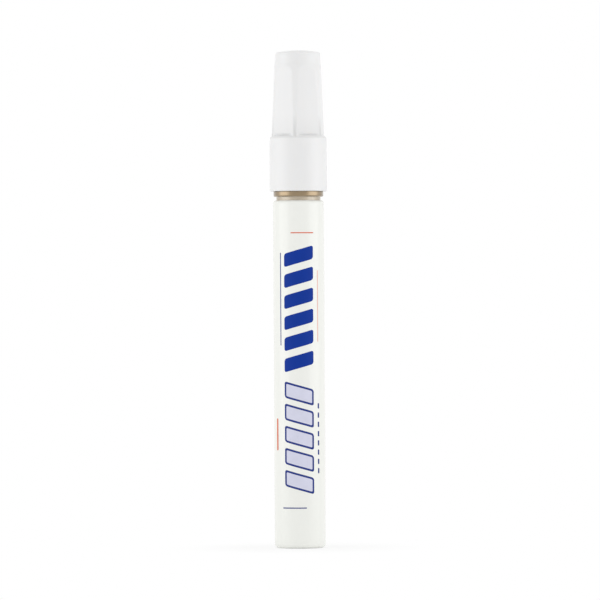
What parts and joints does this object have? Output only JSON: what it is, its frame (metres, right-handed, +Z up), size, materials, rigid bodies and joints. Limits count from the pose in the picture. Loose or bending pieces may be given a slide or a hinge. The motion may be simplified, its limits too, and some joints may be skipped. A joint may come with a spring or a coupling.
{
  "type": "paint marker",
  "caption": "Valve-action paint marker: white metal barrel, gold collar ring, bullet nib on a sprung valve, mixing balls inside, and a pull-off flat-sided white cap with a liner.",
  "frame": {"origin": "centre of the flat foot of the barrel, on the surface it stands on", "axes": "+Z up the marker's axis, from the barrel's foot to the top of the cap; a rib of the cap faces nearly along -Y, towards the viewer"},
  "size_m": [0.0162, 0.0162, 0.14],
  "materials": {
    "white_enamel": "gloss",
    "gold_anodised": "satin",
    "cap_plastic": "gloss",
    "liner_plastic": "satin",
    "holder_plastic": "satin",
    "nib_fibre": "matte",
    "housing_plastic": "satin",
    "seal_rubber": "matte",
    "plunger_plastic": "satin",
    "spring_steel": "satin",
    "ball_steel": "polished"
  },
  "bodies": {
    "barrel": {"barrel": "white_enamel", "valve_housing": "housing_plastic", "collar_ring": "gold_anodised", "nib_holder": "holder_plastic", "valve_seal": "seal_rubber", "valve_spring": "spring_steel", "spring_retainer": "housing_plastic"},
    "cap": {"cap_shell": "cap_plastic", "inner_cap": "liner_plastic"},
    "nib": {"nib": "nib_fibre", "valve_plunger": "plunger_plastic"},
    "ball_left": {"mixing_ball_left": "ball_steel"},
    "ball_right": {"mixing_ball_right": "ball_steel"}
  },
  "joints": [
    {"name": "cap_pull", "type": "slide", "parent": "barrel", "child": "cap", "axis": [0, 0, 1], "range_m": [0, 0.045]},
    {"name": "nib_press", "type": "slide", "parent": "barrel", "child": "nib", "axis": [0, 0, -1], "range_m": [0, 0.0016], "stiffness_N_per_m": 2000, "deforming": ["valve_spring"]},
    {"name": "ball_left_rattle", "type": "slide", "parent": "barrel", "child": "ball_left", "axis": [0, 0, 1], "range_m": [0, 0.0764]},
    {"name": "ball_right_rattle", "type": "slide", "parent": "barrel", "child": "ball_right", "axis": [0, 0, 1], "range_m": [0, 0.0764]}
  ]
}
